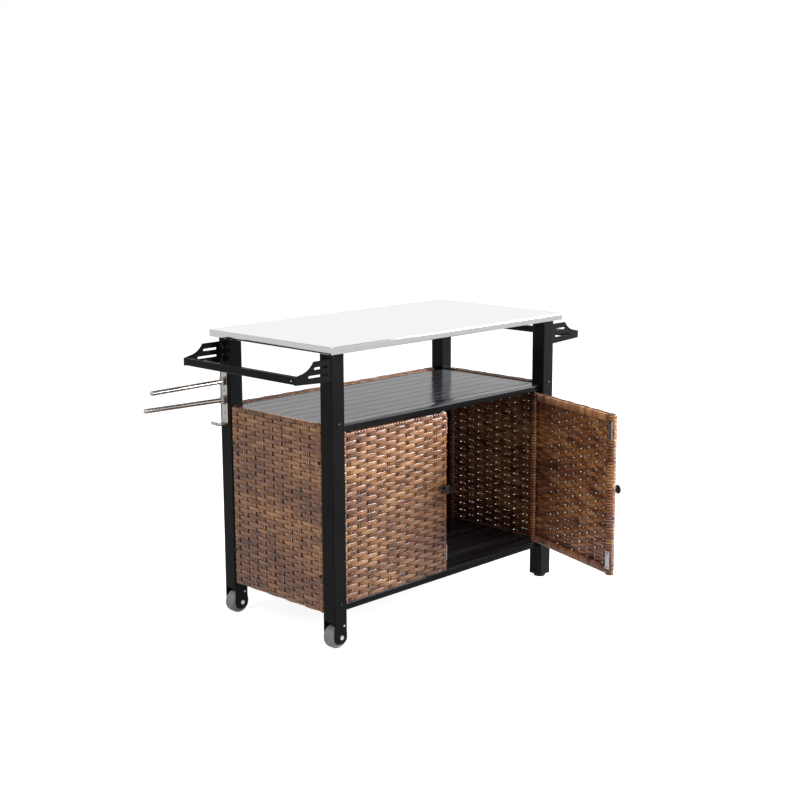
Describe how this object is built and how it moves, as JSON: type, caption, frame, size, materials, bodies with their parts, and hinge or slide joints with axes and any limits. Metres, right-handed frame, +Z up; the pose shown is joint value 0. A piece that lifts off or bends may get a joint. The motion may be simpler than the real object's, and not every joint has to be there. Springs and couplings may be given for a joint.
{
  "type": "grill cart with storage",
  "caption": "Rolling outdoor grill cart with a stainless worktop, an open shelf bay, a wicker cabinet with two hinged doors, end handles and a swing-arm hanger.",
  "frame": {"origin": "point of the floor under the middle of the worktop", "axes": "+Z up, +X along the worktop to the right as seen from the doors, +Y to the back"},
  "size_m": [1.3669, 0.8988, 0.87],
  "materials": {
    "stainless": "fine brushed stainless steel",
    "board": "raw fibre board",
    "wicker": "flat synthetic cane in tan and dark brown",
    "gloss_black": "gloss black powder coat",
    "black_steel": "satin black powder coat",
    "grey_rubber": "grey rubber",
    "black_plastic": "matte black",
    "plated_steel": "zinc plated steel"
  },
  "bodies": {
    "cart": {"worktop_skin": "stainless", "worktop_core": "board", "leg_front_left": "black_steel", "leg_rear_left": "black_steel", "leg_front_right": "black_steel", "leg_rear_right": "black_steel", "front_foot": "black_plastic", "rear_foot": "black_plastic", "mid_front_rail": "gloss_black", "mid_left_rail": "black_steel", "mid_right_rail": "black_steel", "mid_deck": "gloss_black", "floor_front_rail": "gloss_black", "floor_left_rail": "black_steel", "floor_right_rail": "black_steel", "floor_deck": "gloss_black", "left_panel_frame": "wicker", "left_panel_weave": "wicker", "right_panel_frame": "wicker", "right_panel_weave": "wicker", "rear_panel_frame": "wicker", "rear_panel_weave": "wicker", "panel_spacers": "black_plastic", "hinge_washers": "black_plastic", "upper_catch": "black_steel", "lower_catch": "black_steel", "upper_magnets": "plated_steel", "lower_magnets": "plated_steel", "left_handle_front_bracket": "black_steel", "left_handle_rear_bracket": "black_steel", "left_handle_bar": "black_steel", "right_handle_front_bracket": "black_steel", "right_handle_rear_bracket": "black_steel", "right_handle_bar": "black_steel", "hanger_plate": "stainless", "hanger_pins": "plated_steel", "front_fork": "plated_steel", "rear_fork": "plated_steel", "axle_bolts": "plated_steel", "axle_nuts": "plated_steel"},
    "left_door": {"left_door_frame": "wicker", "left_door_weave": "wicker", "left_door_knob": "black_plastic", "left_door_strikes": "plated_steel"},
    "right_door": {"right_door_frame": "wicker", "right_door_weave": "wicker", "right_door_knob": "black_plastic", "right_door_strikes": "plated_steel"},
    "front_wheel": {"front_tyre": "grey_rubber", "front_hub": "black_plastic"},
    "rear_wheel": {"rear_tyre": "grey_rubber", "rear_hub": "black_plastic"},
    "upper_arm": {"upper_arm": "stainless"},
    "lower_arm": {"lower_arm": "stainless"}
  },
  "joints": [
    {"name": "right_door_hinge", "type": "hinge", "parent": "cart", "child": "right_door", "pos_m": [0.4215, -0.222, 0.371], "axis": [0, 0, 1], "range_deg": [-73.4, 19.6]},
    {"name": "left_door_hinge", "type": "hinge", "parent": "cart", "child": "left_door", "pos_m": [-0.4215, -0.222, 0.371], "axis": [0, 0, -1], "range_deg": [0, 93]},
    {"name": "front_wheel_spin", "type": "hinge", "parent": "cart", "child": "front_wheel", "pos_m": [-0.458, -0.221, 0.034], "axis": [0, 1, 0], "continuous": true},
    {"name": "rear_wheel_spin", "type": "hinge", "parent": "cart", "child": "rear_wheel", "pos_m": [-0.458, 0.221, 0.034], "axis": [0, 1, 0], "continuous": true},
    {"name": "upper_arm_swing", "type": "hinge", "parent": "cart", "child": "upper_arm", "pos_m": [-0.493, 0.221, 0.718], "axis": [0, 0, 1], "range_deg": [-87.6, 82.4]},
    {"name": "lower_arm_swing", "type": "hinge", "parent": "cart", "child": "lower_arm", "pos_m": [-0.493, 0.221, 0.662], "axis": [0, 0, 1], "range_deg": [-79.6, 90.4]}
  ]
}
